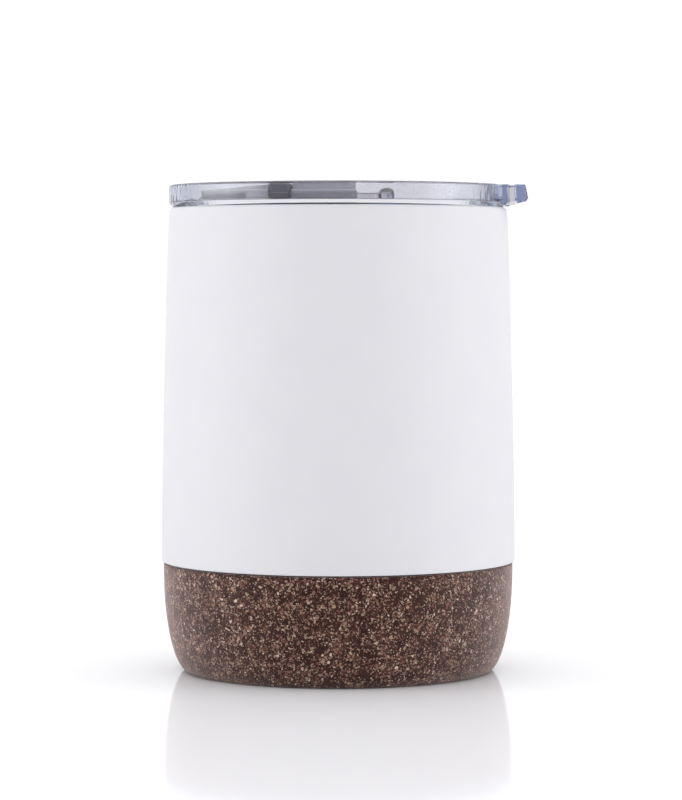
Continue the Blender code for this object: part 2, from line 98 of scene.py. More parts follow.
# Cork
CORK_RADIUS = cork_high.y
CORK_TOP = cork_high.z
CORK_BORE = SPIGOT_RADIUS + GAP
CORK_BORE_FILLET = 1.5 * MM
CORK_EDGE_FILLET = 0.25 * MM
CORK_FLOOR_TOP = 3.0 * MM
CORK_CURVE_TOP = 21.0 * MM
CORK_CURVE_INSET = 5.1 * MM
CORK_CURVE_RINGS = 60
CORK_FLAT_RADII = (29.0 * MM, 20.0 * MM)
CORK_GRID = 0.45 * MM
PIT_DEPTH = 0.07 * MM
PIT_SIZE = 0.7 * MM
SMALL_PIT_SIZE = 0.35 * MM

# Lid
LID_RADIUS = lid_high.y
LID_TOP = lid_high.z
LID_BAND_BOTTOM = LID_TOP - 3.7 * MM
LID_UNDERSIDE = RIM_TOP + 0.02 * MM
LID_SEAT_RADIUS = 34.1 * MM
LID_RECESS_RADIUS = 32.3 * MM
LID_DRAFT = 0.15 * MM
LID_FLOOR_FILLET = 0.25 * MM
LID_INNER_EDGE = 0.5 * MM
LID_OUTER_EDGE = 0.45 * MM
LID_BAND_EDGE = 0.15 * MM
LID_SEAT_EDGE = 0.05 * MM
LID_FLOOR_TOP = slider_low.z - GAP
LID_FLOOR_BOTTOM = LID_FLOOR_TOP - 1.6 * MM
SKIRT_BOTTOM = lid_low.z
SKIRT_RADIUS = 31.0 * MM
SKIRT_BORE = 28.7 * MM
SKIRT_ROOT_FILLET = 0.2 * MM
SKIRT_OUTER_EDGE = 0.6 * MM
SKIRT_INNER_EDGE = 0.4 * MM
SKIRT_BORE_FILLET = 0.8 * MM
GROOVE_RADIUS = 29.6 * MM
GROOVE_FILLET = 0.1 * MM
GROOVE_BOTTOM = gasket_low.z - GAP
GROOVE_TOP = gasket_high.z + GAP
GASKET_NECK = SKIRT_RADIUS - 0.1 * MM
GASKET_EDGE = 0.1 * MM
GASKET_LIP_EDGE = 0.15 * MM

# Thumb tab
TAB_REACH = lid_high.x
TAB_ROOT_X = LID_RECESS_RADIUS + 0.7 * MM
TAB_ROOT_HALF_WIDTH = 10.3 * MM
TAB_NECK_X = LID_RADIUS - 0.4 * MM
TAB_NECK_HALF_WIDTH = 10.25 * MM
TAB_NECK_FILLET = 2.0 * MM
TAB_TIP_HALF_WIDTH = 9.6 * MM
TAB_TIP_FILLET = 1.0 * MM
TAB_TOP_ROUND = 0.4 * MM
TAB_LEAN = 0.5 * MM
TAB_TOP = LID_TOP - 0.02 * MM
TAB_UNDERSIDE_ROOT = 96.3 * MM
TAB_UNDERSIDE_TIP = 97.2 * MM
TAB_CHAMFER = 0.5 * MM
TAB_GRID = 0.8 * MM
POCKET_START_X = 34.45 * MM
POCKET_END_X = 36.4 * MM
POCKET_HALF_WIDTH = 7.0 * MM
POCKET_CORNER = 0.5 * MM
POCKET_ROOF = 0.5 * MM

# Openings in the lid's floor, and the rails and posts on it
SIP_X = -23.5 * MM
SIP_HALF_LENGTH = 3.5 * MM
SIP_HALF_WIDTH = 8.0 * MM
SIP_CORNER = 3.4 * MM
SIP_FLARE = 0.35 * MM
SLOT_CORNER = 0.6 * MM
SLOT_FLARE = 0.15 * MM
VENT_X = 21.0 * MM
VENT_RADIUS = 1.0 * MM
VENT_FLARE = 0.2 * MM
NEARLY_ROUND = 0.98
RAIL_WIDTH = 1.2 * MM
RAIL_CORNER = 0.45 * MM
RAIL_ROUND = 0.3 * MM
RAIL_TOP = LID_FLOOR_TOP + 1.4 * MM
RAIL_START_X = -14.0 * MM
RAIL_END_X = 9.6 * MM
POST_X = 9.9 * MM
POST_Y = 11.9 * MM
POST_RADIUS = 1.4 * MM
POST_TOP = 99.3 * MM
POST_DOME = 1.3 * MM

# Retainer
STEM_HALF_WIDTH = 2.5 * MM
STEM_START_X = -13.5 * MM
STEM_END_X = -9.5 * MM
STEM_CORNER = 0.4 * MM
STEM_ROUND = 0.3 * MM
BAR_START_X = -14.0 * MM
BAR_END_X = -9.7 * MM
BAR_BOTTOM = 98.3 * MM
BAR_CORNER = 0.9 * MM
BAR_LOWER_ROUND = 0.1 * MM
BAR_UPPER_ROUND = 0.35 * MM
FOOT_INNER_Y = 6.3 * MM
FOOT_BOTTOM = 97.5 * MM
FOOT_CORNER = 0.4 * MM
CLIP_HALF_WIDTH = 6.0 * MM
CLIP_CORNER = 2.0 * MM
CLIP_ROUND = 0.3 * MM

# Slider and its seal
SLIDER_TRAVEL = 13.0 * MM
SLIDER_PLATE_TOP = 99.0 * MM
SLIDER_TAIL_CORNER = 3.0 * MM
SLIDER_NOSE_CORNER = 8.0 * MM
SLIDER_LOWER_ROUND = 0.2 * MM
SLIDER_UPPER_ROUND = 0.45 * MM
GRIP_START_X = -9.4 * MM
GRIP_INSET = 0.3 * MM
GRIP_HALF_WIDTH = 8.0 * MM
GRIP_CORNER = 2.4 * MM
GRIP_ROUND = 0.35 * MM
RAMP_START_X = -26.5 * MM
RAMP_END_X = -13.0 * MM
RAMP_LOW = 98.9 * MM
RAMP_HIGH = 100.0 * MM
RAMP_TAIL_CORNER = 1.0 * MM
RAMP_NOSE_CORNER = 3.0 * MM
STEM_HOLE_CORNER = 0.5 * MM
CHANNEL_CORNER = 0.05 * MM
SEAL_TAIL_CORNER = 2.0 * MM
SEAL_NOSE_CORNER = 6.6 * MM
SEAL_ROUND = 0.15 * MM

# ---------------------------------------------------------------- looks and camera

# Cork granules, as (size, share of the cells that show) and as browns by chance
GRANULES = ((0.20 * MM, 0.21), (0.34 * MM, 0.23), (0.56 * MM, 0.11))
GRANULE_REACH = 0.66
GRANULE_HEIGHT = 0.6
WANDER_SIZE = 0.6 * MM
WANDER_PUSH = 0.5 * MM
CORK_GRAIN_SIZE = 0.3 * MM
CROWDING_SIZE = 2.6 * MM
BINDER_SIZE = 2.2 * MM
BINDER_DARK = (0.022, 0.003, 0.001)
BINDER_WARM = (0.050, 0.017, 0.010)
BROWNS = [
    (0.00, (0.11, 0.040, 0.028)),
    (0.20, (0.21, 0.082, 0.066)),
    (0.40, (0.27, 0.140, 0.095)),
    (0.58, (0.33, 0.232, 0.165)),
    (0.74, (0.46, 0.295, 0.205)),
    (0.86, (0.55, 0.410, 0.335)),
    (0.95, (0.78, 0.610, 0.480)),
]

# Clear plastic: its surface's tint, and its body's colour and absorption per metre
PLASTIC_TINT = (0.962, 0.936, 0.908, 1.0)
PLASTIC_DEPTH_COLOUR = (0.143, 0.257, 0.557, 1.0)
PLASTIC_DEPTH_DENSITY = 90.0
STREAKS_FROM = 20 * MM
STREAKS_TO = 33 * MM
RIPPLE_HEIGHT = 0.06 * MM

# Camera, fitted to the ellipses of the lid, the seam and the base
CAMERA_PLACE = (0.00059, -0.6432, 0.0812)
CAMERA_LENS = 139.35
CAMERA_DOWN = 2.237


# ---------------------------------------------------------------- outlines


def rounded(corners, closed=False, steps=6):
    """A polyline through corners, each (a, b) or (a, b, fillet radius), with its fillets drawn."""
    points = []
    count = len(corners)
    for i, corner in enumerate(corners):
        here = Vector(corner[:2])
        fillet = corner[2] if len(corner) > 2 else 0.0
        at_end = not closed and i in (0, count - 1)
        if fillet == 0.0 or at_end:
            points.append(here)
            continue
        before = Vector(corners[i - 1][:2]) - here
        after = Vector(corners[(i + 1) % count][:2]) - here
        half_angle = before.angle(after) / 2
        reach = fillet / tan(half_angle)
        middle = (before.normalized() + after.normalized()).normalized()
        centre = here + middle * (fillet / sin(half_angle))
        first = here + before.normalized() * reach - centre
        last = here + after.normalized() * reach - centre
        turn = atan2(first.x * last.y - first.y * last.x, first.dot(last))
        for step in range(steps + 1):
            angle = turn * step / steps
            offset = (
                first.x * cos(angle) - first.y * sin(angle),
                first.x * sin(angle) + first.y * cos(angle),
            )
            points.append(centre + Vector(offset))
    return points


def rectangle(low_x, high_x, half_width, fillet, low_fillet=None, steps=10):
    """The outline of a rectangle about the X axis. The end at low_x may have its own fillet."""
    start = fillet if low_fillet is None else low_fillet
    corners = [
        (low_x, -half_width, start),
        (high_x, -half_width, fillet),
        (high_x, half_width, fillet),
        (low_x, half_width, start),
    ]
    return rounded(corners, closed=True, steps=steps)


def moved(outline, across):
    """The same outline moved along Y."""
    return [p + Vector((0.0, across)) for p in outline]


def between(low, high, count):
    """Evenly spaced values from low to high, both included."""
    return [low + (high - low) * i / (count - 1) for i in range(count)]


def spread(outline, length):
    """The same polyline, with its long stretches divided into parts of about the given length."""
    points = [outline[0]]
    for start, end in zip(outline, outline[1:]):
        parts = max(1, round((end - start).length / length))
        points += [start.lerp(end, i / parts) for i in range(1, parts + 1)]
    return points


def grown(outline, by):
    """A closed outline, running anticlockwise, moved outwards by a distance."""
    points = []
    count = len(outline)
    for i, here in enumerate(outline):
        arriving = (here - outline[i - 1]).normalized()
        leaving = (outline[(i + 1) % count] - here).normalized()
        along = (arriving + leaving).normalized()
        reach = by / max(0.5, along.dot(leaving))
        points.append(here + Vector((along.y, -along.x)) * reach)
    return points


def edge_levels(bottom, top, bottom_round, top_round, steps=4):
    """(height, growth) pairs from the bottom up, for a slab whose edges are rounded."""
    levels = []
    for i in range(steps + 1):
        angle = pi / 2 * i / steps
        shrink = bottom_round * (1 - sin(angle))
        levels.append((bottom + bottom_round * (1 - cos(angle)), -shrink))
    for i in range(steps + 1):
        angle = pi / 2 * (1 - i / steps)
        shrink = top_round * (1 - sin(angle))
        levels.append((top - top_round * (1 - cos(angle)), -shrink))
    return levels


# ---------------------------------------------------------------- making pieces


def add_object(name, shape):
    """An object made from a bmesh, with its normals outwards."""
    mesh = bpy.data.meshes.new(name)
    bmesh.ops.remove_doubles(shape, verts=shape.verts, dist=MERGE)
    bmesh.ops.recalc_face_normals(shape, faces=shape.faces)
    shape.to_mesh(mesh)
    shape.free()
    obj = bpy.data.objects.new(name, mesh)
    bpy.context.scene.collection.objects.link(obj)
    smooth(obj)
    return obj


def smooth(obj):
    """Shades obj smooth, with sharp edges where faces meet at more than SHARP_ANGLE degrees."""
    obj.data.shade_smooth()
    obj.data.set_sharp_from_angle(angle=radians(SHARP_ANGLE))


def turned(name, outline, closed=True, steps=TURNED_STEPS):
    """A solid turned about Z from its outline, which closes or ends on the axis."""
    shape = bmesh.new()
    rings = []
    for radius, height in outline:
        if radius < MERGE:
            rings.append([shape.verts.new((0.0, 0.0, height))])
            continue
        ring = []
        for i in range(steps):
            angle = tau * i / steps
            ring.append(shape.verts.new((radius * cos(angle), radius * sin(angle), height)))
        rings.append(ring)
    pairs = list(zip(rings, rings[1:]))
    if closed:
        pairs.append((rings[-1], rings[0]))
    for first, second in pairs:
        for i in range(steps):
            j = (i + 1) % steps
            corners = [first[i % len(first)], first[j % len(first)]]
            corners += [second[j % len(second)], second[i % len(second)]]
            distinct = list(dict.fromkeys(corners))
            if len(distinct) > 2:
                shape.faces.new(distinct)
    return add_object(name, shape)


def slab(name, outline, levels):
    """A flat piece lofted through (height, growth) levels of one outline.

    The outline is its own mirror image, last point to first, so each end is closed by cross strips.
    """
    shape = bmesh.new()
    rings = []
    for height, growth in levels:
        ring = [shape.verts.new((p.x, p.y, height)) for p in grown(outline, growth)]
        rings.append(ring)
    count = len(outline)
    for lower, upper in zip(rings, rings[1:]):
        for i in range(count):
            j = (i + 1) % count
            shape.faces.new((lower[i], lower[j], upper[j], upper[i]))
    for ring in (rings[0], rings[-1]):
        for i in range(count // 2):
            corners = [ring[i], ring[i + 1], ring[count - 2 - i], ring[count - 1 - i]]
            distinct = list(dict.fromkeys(corners))
            if len(distinct) > 2:
                shape.faces.new(distinct)
    return add_object(name, shape)


def combine(target, others, operation):
    """Joins or cuts target with each of others, which are then gone."""
    for other in others:
        boolean = target.modifiers.new(other.name, "BOOLEAN")
        boolean.operation = operation
        boolean.solver = "EXACT"
        boolean.object = other
    settle(target)
    smooth(target)
    for other in others:
        bpy.data.objects.remove(other)


def settle(obj):
    """Turns what obj's modifiers make into its own mesh."""
    bpy.context.view_layer.update()
    graph = bpy.context.evaluated_depsgraph_get()
    mesh = bpy.data.meshes.new_from_object(obj.evaluated_get(graph))
    obj.modifiers.clear()
    obj.data = mesh


def flatten_shading(obj):
    """Gives each corner its largest face's normal, so that flat faces beside fillets shade flat."""
    weighted = obj.modifiers.new("Weighted normals", "WEIGHTED_NORMAL")
    weighted.mode = "FACE_AREA_WITH_ANGLE"
    weighted.keep_sharp = True
    settle(obj)


def finish_piece(obj, material, body, node):
    """Gives obj its material, and puts it on its body in place of the CAD node."""
    flatten_shading(obj)
    obj.data.materials.clear()
    obj.data.materials.append(material)
    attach(obj, body)
    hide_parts(node)


# ---------------------------------------------------------------- materials


def wire(tree, value, socket):
    """Sets a socket to a number, or links it to another node's output."""
    if isinstance(value, (int, float)):
        socket.default_value = value
    else:
        tree.links.new(value, socket)


def maths(tree, operation, first, second=0.0):
    node = tree.nodes.new("ShaderNodeMath")
    node.operation = operation
    wire(tree, first, node.inputs[0])
    wire(tree, second, node.inputs[1])
    return node.outputs["Value"]


def ramp(tree, value, stops, interpolation="LINEAR"):
    """A colour looked up among (position, colour) stops."""
    node = tree.nodes.new("ShaderNodeValToRGB")
    node.color_ramp.interpolation = interpolation
    elements = node.color_ramp.elements
    while len(elements) < len(stops):
        elements.new(0.5)
    for element, (position, colour) in zip(elements, stops):
        element.position = position
        element.color = (*colour, 1.0)
    wire(tree, value, node.inputs["Fac"])
    return node.outputs["Color"]


class Nodes:
    """A short way to write a material's nodes."""

    def __init__(self, name):
        self.material = bpy.data.materials.new(name)
        self.material.use_nodes = True
        self.tree = self.material.node_tree
        self.shader = self.tree.nodes["Principled BSDF"]
        self.output = self.tree.nodes["Material Output"]

    def add(self, kind, **settings):
        node = self.tree.nodes.new(kind)
        for name, value in settings.items():
            setattr(node, name, value)
        return node

    def link(self, source, target):
        self.tree.links.new(source, target)

    def set(self, **values):
        """Sets uniform values on the shader's own sockets."""
        for name, value in values.items():
            self.shader.inputs[name.replace("_", " ")].default_value = value

    def place(self, stretch=(1, 1, 1)):
        """The point on the piece, in its own metres, each way stretched by a factor."""
        coordinates = self.add("ShaderNodeTexCoord")
        mapping = self.add("ShaderNodeMapping")
        mapping.inputs["Scale"].default_value = stretch
        self.link(coordinates.outputs["Object"], mapping.inputs["Vector"])
        return mapping.outputs["Vector"]

    def noise(self, size, detail=2.0, place=None):
        """Noise whose lumps are about size metres across."""
        node = self.add("ShaderNodeTexNoise")
        node.inputs["Scale"].default_value = 1.0 / size
        node.inputs["Detail"].default_value = detail
        self.link(place if place is not None else self.place(), node.inputs["Vector"])
        return node.outputs["Fac"]

    def cells(self, size, place):
        """Voronoi cells about size metres across."""
        node = self.add("ShaderNodeTexVoronoi")
        node.inputs["Scale"].default_value = 1.0 / size
        self.link(place, node.inputs["Vector"])
        return node

    def range(self, value, low, high, from_low, from_high):
        """The value brought from from_low..from_high to low..high, and kept inside."""
        node = self.add("ShaderNodeMapRange")
        node.inputs["From Min"].default_value = from_low
        node.inputs["From Max"].default_value = from_high
        node.inputs["To Min"].default_value = low
        node.inputs["To Max"].default_value = high
        self.link(value, node.inputs["Value"])
        return node.outputs["Result"]

    def maths(self, operation, first, second=0.0):
        return maths(self.tree, operation, first, second)

    def ramp(self, value, stops, interpolation="LINEAR"):
        return ramp(self.tree, value, stops, interpolation)

    def mix(self, factor, first, second):
        """The first colour where the factor is 0, the second where it is 1."""
        node = self.add("ShaderNodeMix", data_type="RGBA")
        for index, source in ((0, factor), (6, first), (7, second)):
            self.link(source, node.inputs[index])
        return node.outputs[2]

    def bump(self, height, distance, strength):
        node = self.add("ShaderNodeBump")
        node.inputs["Strength"].default_value = strength
        node.inputs["Distance"].default_value = distance
        self.link(height, node.inputs["Height"])
        return node.outputs["Normal"]

    def feed(self, **sources):
        """Links node outputs to the shader's sockets."""
        for name, source in sources.items():
            self.link(source, self.shader.inputs[name.replace("_", " ")])


def powder_coat():
    """Satin white powder coat: a faint orange peel and a slight drift in gloss and tone."""
    n = Nodes("white_powder_coat_looks")
    n.set(Metallic=0.0, IOR=1.5)
    tone = n.ramp(n.noise(9 * MM), [(0.3, (0.850, 0.850, 0.875)), (0.7, (0.864, 0.864, 0.887))])
    peel = n.noise(0.55 * MM, detail=3.0)
    gloss = n.range(n.noise(2.5 * MM), 0.52, 0.58, 0.35, 0.65)
    n.feed(Base_Color=tone, Roughness=gloss, Normal=n.bump(peel, 0.006 * MM, 0.5))
    return n.material


def brushed_steel(name, colour, roughness):
    """Steel turned and brushed round its axis, with fine lines that run round it."""
    n = Nodes(name)
    n.set(Metallic=1.0, Anisotropic=0.35)
    lines = n.noise(0.12 * MM, detail=4.0, place=n.place((0.02, 0.02, 1.0)))
    clouds = n.noise(7 * MM, detail=3.0)
    dim = tuple(0.88 * part for part in colour)
    tone = n.ramp(lines, [(0.35, dim), (0.65, colour)])
    gloss = n.range(clouds, roughness - 0.01, roughness + 0.02, 0.25, 0.75)
    n.feed(Base_Color=tone, Roughness=gloss, Normal=n.bump(lines, 0.004 * MM, 0.4))
    return n.material


def cork_composite():
    """Dark binder full of cork granules of three sizes, each granule in its own brown.

    The granules' cells are warped by noise, and their share of the surface varies in patches.
    """
    n = Nodes("cork_composite_looks")
    n.set(Metallic=0.0, IOR=1.20, Sheen_Weight=0.66, Sheen_Roughness=0.48)
    n.set(Sheen_Tint=(1.0, 0.84, 0.81, 1.0))
    wander = n.add("ShaderNodeTexNoise")
    wander.inputs["Scale"].default_value = 1.0 / WANDER_SIZE
    wander.inputs["Detail"].default_value = 2.0
    place = n.place()
    n.link(place, wander.inputs["Vector"])
    push = n.add("ShaderNodeVectorMath", operation="MULTIPLY_ADD")
    n.link(wander.outputs["Color"], push.inputs[0])
    push.inputs[1].default_value = (WANDER_PUSH,) * 3
    n.link(place, push.inputs[2])
    warped = push.outputs["Vector"]

    binder = [(0.35, BINDER_DARK), (0.68, BINDER_WARM)]
    colour = n.ramp(n.noise(BINDER_SIZE, place=place), binder)
    relief = n.noise(CORK_GRAIN_SIZE, place=place)
    crowding = n.range(n.noise(CROWDING_SIZE, place=place), 0.35, 1.6, 0.34, 0.66)
    for size, share in GRANULES:
        cell = n.cells(size, place=warped)
        chance = n.add("ShaderNodeSeparateColor")
        n.link(cell.outputs["Color"], chance.inputs["Color"])
        local_share = n.maths("MULTIPLY", crowding, share)
        shown = n.maths("LESS_THAN", chance.outputs["Red"], local_share)
        inside = n.maths("LESS_THAN", cell.outputs["Distance"], GRANULE_REACH)
        granule = n.maths("MULTIPLY", shown, inside)
        brown = n.ramp(chance.outputs["Green"], BROWNS, "CONSTANT")
        colour = n.mix(granule, colour, brown)
        relief = n.maths("ADD", relief, n.maths("MULTIPLY", granule, GRANULE_HEIGHT))
    gloss = n.range(relief, 0.50, 0.72, 0.3, 1.2)
    n.feed(Base_Color=colour, Roughness=gloss, Normal=n.bump(relief, 0.03 * MM, 0.6))
    return n.material


def clear_plastic():
    """Clear styrene-type plastic with a violet-blue body colour that shows where it is deep.

    Its surface has faint ripples, and upright flow streaks towards the ring's left and right ends.
    """
    n = Nodes("clear_plastic_looks")
    n.set(
        Base_Color=PLASTIC_TINT,
        Metallic=0.0,
        Roughness=0.015,
        IOR=1.50,
        Transmission_Weight=1.0,
    )
    ripple = n.noise(6 * MM, detail=1.0)
    streaks = n.noise(1.3 * MM, detail=1.0, place=n.place((1.0, 1.0, 0.35)))
    along = n.add("ShaderNodeSeparateXYZ")
    n.link(n.place(), along.inputs["Vector"])
    sideways = n.maths("ABSOLUTE", along.outputs["X"])
    near_ends = n.range(sideways, 0.0, 3.0, STREAKS_FROM, STREAKS_TO)
    flow = n.maths("ADD", ripple, n.maths("MULTIPLY", streaks, near_ends))
    n.feed(Normal=n.bump(flow, RIPPLE_HEIGHT, 0.5))
    depth = n.add("ShaderNodeVolumeAbsorption")
    depth.inputs["Color"].default_value = PLASTIC_DEPTH_COLOUR
    depth.inputs["Density"].default_value = PLASTIC_DEPTH_DENSITY
    n.link(depth.outputs["Volume"], n.output.inputs["Volume"])
    return n.material


def smoky_plastic():
    """Milky translucent plastic, nearly white at the nose; its grey at the grip is painted shade.
    """
    n = Nodes("smoky_plastic_looks")
    n.set(Metallic=0.0, IOR=1.52, Transmission_Weight=0.6)
    swirl = n.noise(3 * MM, detail=2.0)
    # Painted shade: the grip's grey, faded in along X, stands for the darkness its faces give it.
    grip_painted_shade = n.ramp(swirl, [(0.3, (0.57, 0.57, 0.65)), (0.7, (0.64, 0.64, 0.71))])
    nose_tone = n.ramp(swirl, [(0.3, (0.90, 0.90, 0.92)), (0.7, (0.96, 0.96, 0.98))])
    along = n.add("ShaderNodeSeparateXYZ")
    n.link(n.place(), along.inputs["Vector"])
    grip_shade_share = n.range(along.outputs["X"], 0.0, 1.0, BAR_START_X - 4.0 * MM, BAR_START_X)
    tone = n.mix(grip_shade_share, nose_tone, grip_painted_shade)
    gloss = n.range(n.noise(0.8 * MM), 0.03, 0.06, 0.35, 0.65)
    n.feed(Base_Color=tone, Roughness=gloss)
    return n.material


def moulded_plastic(name, colour, roughness):
    """Opaque material with a fine moulded grain and a slight drift in tone."""
    n = Nodes(name)
    n.set(Metallic=0.0, IOR=1.48)
    grain = n.noise(0.35 * MM, detail=3.0)
    light = tuple(min(1.0, 1.25 * part) for part in colour)
    tone = n.ramp(n.noise(4 * MM), [(0.35, colour), (0.65, light)])
    gloss = n.range(grain, roughness - 0.05, roughness + 0.08, 0.35, 0.65)
    n.feed(Base_Color=tone, Roughness=gloss, Normal=n.bump(grain, 0.01 * MM, 0.4))
    return n.material


def silicone(name, colour):
    """Translucent silicone rubber with a soft gloss."""
    n = Nodes(name)
    n.set(Metallic=0.0, IOR=1.41, Transmission_Weight=0.45, Sheen_Weight=0.1)
    tone = n.ramp(n.noise(3 * MM), [(0.35, tuple(0.93 * c for c in colour)), (0.65, colour)])
    gloss = n.range(n.noise(0.5 * MM), 0.38, 0.50, 0.35, 0.65)
    n.feed(Base_Color=tone, Roughness=gloss)
    return n.material


# ---------------------------------------------------------------- the cup


def shell_radius(z):
    """Outer radius of the white wall, upright at the base and drawn in towards the mouth."""
    rise = max(0.0, z - SHELL_TAPER_START) / (RIM_TOP - SHELL_TAPER_START)
    return SHELL_RADIUS - SHELL_MOUTH_INSET * rise**1.5


def make_shell():
    """The white wall, with the rim's outer half above and the spigot inside the cork below."""
    heights = between(SHELL_TAPER_END, SHELL_TAPER_START, SHELL_RINGS)
    outside = [(shell_radius(z), z) for z in heights]
    inside = [(radius - SHELL_WALL, z) for radius, z in reversed(outside)]
    spigot_bore = SPIGOT_RADIUS - SHELL_WALL
    corners = [
        (RIM_SEAM_RADIUS, RIM_TOP),
        (RIM_OUTER_RADIUS, RIM_TOP, RIM_FILLET),
        *outside,
        (SHELL_RADIUS, SHELL_STEP, STEP_FILLET),
        (SPIGOT_RADIUS, SHELL_STEP, BEND_FILLET),
        (SPIGOT_RADIUS, shell_low.z),
        (spigot_bore, shell_low.z),
        (spigot_bore, SHELL_STEP + SHELL_WALL, BEND_FILLET),
        (SHELL_RADIUS - SHELL_WALL, SHELL_STEP + SHELL_WALL),
        *inside,
        (RIM_OUTER_RADIUS - SHELL_WALL, RIM_TOP - SHELL_WALL, BEND_FILLET),
        (RIM_SEAM_RADIUS, RIM_TOP - SHELL_WALL),
    ]
    shell = turned("shell_coated", rounded(corners, closed=True))
    finish_piece(shell, powder_coat(), "cup", "outer_shell")


def make_liner():
    """The drawn steel inner cup, with its lip turned out to the seam on the rim."""
    lip_edge = RIM_SEAM_RADIUS - SEAM_GAP
    corners = [
        (0.0, LINER_FLOOR),
        (LINER_FLOOR_RADIUS, LINER_FLOOR, LINER_CORNER),
        (LINER_MOUTH_RADIUS, RIM_TOP, LINER_LIP_FILLET),
        (lip_edge, RIM_TOP),
        (lip_edge, RIM_TOP - LINER_WALL),
        (LINER_MOUTH_RADIUS + LINER_WALL, RIM_TOP - LINER_WALL, BEND_FILLET),
        (LINER_FLOOR_RADIUS + LINER_WALL, liner_low.z, LINER_CORNER + LINER_WALL),
        (0.0, liner_low.z),
    ]
    outline = spread(rounded(corners, steps=14), LINER_GRID)
    liner = turned("liner_brushed", outline, closed=False)
    steel = brushed_steel("liner_steel_looks", (0.82, 0.82, 0.81), 0.32)
    finish_piece(liner, steel, "cup", "inner_liner")


def cork_radius(z):
    """Outer radius of the cork, upright at its top and tucked in towards the foot."""
    drop = max(0.0, CORK_CURVE_TOP - z) / CORK_CURVE_TOP
    return CORK_RADIUS - CORK_CURVE_INSET * (1 - sqrt(max(0.0, 1 - drop * drop)))


def make_cork():
    """The cork cup, from the middle of its floor up the bore, over its edge and down outside."""
    curve = []
    for angle in between(0.0, pi / 2, CORK_CURVE_RINGS):
        z = CORK_CURVE_TOP * (1 - sin(angle))
        curve.append((cork_radius(z), z))
    corners = [
        (0.0, CORK_FLOOR_TOP),
        (CORK_BORE, CORK_FLOOR_TOP, CORK_BORE_FILLET),
        (CORK_BORE, CORK_TOP),
        (CORK_RADIUS, CORK_TOP, CORK_EDGE_FILLET),
        *curve,
        *((radius, 0.0) for radius in CORK_FLAT_RADII),
        (0.0, 0.0),
    ]
    outline = spread(rounded(corners), CORK_GRID)
    cork = turned("cork_moulded", outline, closed=False, steps=CORK_STEPS)
    pit_cork(cork)
    finish_piece(cork, cork_composite(), "cup", "cork_base")


def pit_cork(cork):
    """Sinks small pits between the granules of the cork's outer face, and leaves its bore alone."""
    for vertex in cork.data.vertices:
        place = vertex.co
        out = hypot(place.x, place.y)
        in_bore = out < CORK_BORE + 0.5 * MM and place.z > 1.0 * MM
        on_foot = place.z < 0.2 * MM
        if in_bore or on_foot:
            continue
        lump = noise.noise(place / PIT_SIZE) * 0.6 + noise.noise(place / SMALL_PIT_SIZE) * 0.4
        sink = PIT_DEPTH * min(1.0, max(0.0, 0.15 - lump) * 1.6)
        vertex.co.x -= place.x / out * sink
        vertex.co.y -= place.y / out * sink


# ---------------------------------------------------------------- the lid


def make_lid():
    """The clear lid: floor, ring, band, seat on the rim and skirt with the gasket's groove."""
    corners = [
        (0.0, LID_FLOOR_TOP),
        (LID_RECESS_RADIUS - LID_DRAFT, LID_FLOOR_TOP, LID_FLOOR_FILLET),
        (LID_RECESS_RADIUS, LID_TOP, LID_INNER_EDGE),
        (LID_RADIUS, LID_TOP, LID_OUTER_EDGE),
        (LID_RADIUS, LID_BAND_BOTTOM, LID_BAND_EDGE),
        (LID_SEAT_RADIUS, LID_UNDERSIDE, LID_SEAT_EDGE),
        (SKIRT_RADIUS, LID_UNDERSIDE, SKIRT_ROOT_FILLET),
        (SKIRT_RADIUS, GROOVE_TOP, GROOVE_FILLET),
        (GROOVE_RADIUS, GROOVE_TOP, GROOVE_FILLET),
        (GROOVE_RADIUS, GROOVE_BOTTOM, GROOVE_FILLET),
        (SKIRT_RADIUS, GROOVE_BOTTOM, GROOVE_FILLET),
        (SKIRT_RADIUS, SKIRT_BOTTOM, SKIRT_OUTER_EDGE),
        (SKIRT_BORE, SKIRT_BOTTOM, SKIRT_INNER_EDGE),
        (SKIRT_BORE, LID_FLOOR_BOTTOM, SKIRT_BORE_FILLET),
        (0.0, LID_FLOOR_BOTTOM),
    ]
    lid = turned("lid_clear", rounded(corners), closed=False)
    combine(lid, [make_tab(), *make_rails()], "UNION")
    combine(lid, [*make_lid_cutters(), make_tab_pocket()], "DIFFERENCE")
    finish_piece(lid, clear_plastic(), "lid", "lid_body")


def make_tab():
    """The thumb tab: a rounded tongue that leans back, and whose underside climbs to its tip."""
    corners = [
        (TAB_ROOT_X, -TAB_ROOT_HALF_WIDTH),
        (TAB_NECK_X, -TAB_NECK_HALF_WIDTH, TAB_NECK_FILLET),
        (TAB_REACH, -TAB_TIP_HALF_WIDTH, TAB_TIP_FILLET),
        (TAB_REACH, 0.0),
    ]
    root, *side = rounded(corners, steps=14)[:-1]
    near_half = [root, *spread(side, TAB_GRID)]
    far_half = [Vector((p.x, -p.y)) for p in reversed(near_half)]
    outline = near_half + far_half
    chamfer = [(TAB_UNDERSIDE_ROOT, -TAB_CHAMFER), (TAB_UNDERSIDE_ROOT + TAB_CHAMFER, 0.0)]
    top_edge = edge_levels(TAB_UNDERSIDE_ROOT, TAB_TOP, 0.0, TAB_TOP_ROUND)[5:]
    tab = slab("tab_tongue", outline, chamfer + top_edge)
    climb = TAB_UNDERSIDE_TIP - TAB_UNDERSIDE_ROOT
    for vertex in tab.data.vertices:
        share = max(0.0, vertex.co.x - LID_RADIUS) / (TAB_REACH - LID_RADIUS)
        if vertex.co.z < TAB_TOP - 1.0 * MM:
            vertex.co.z += climb * share
        else:
            vertex.co.x -= TAB_LEAN * share
    return tab


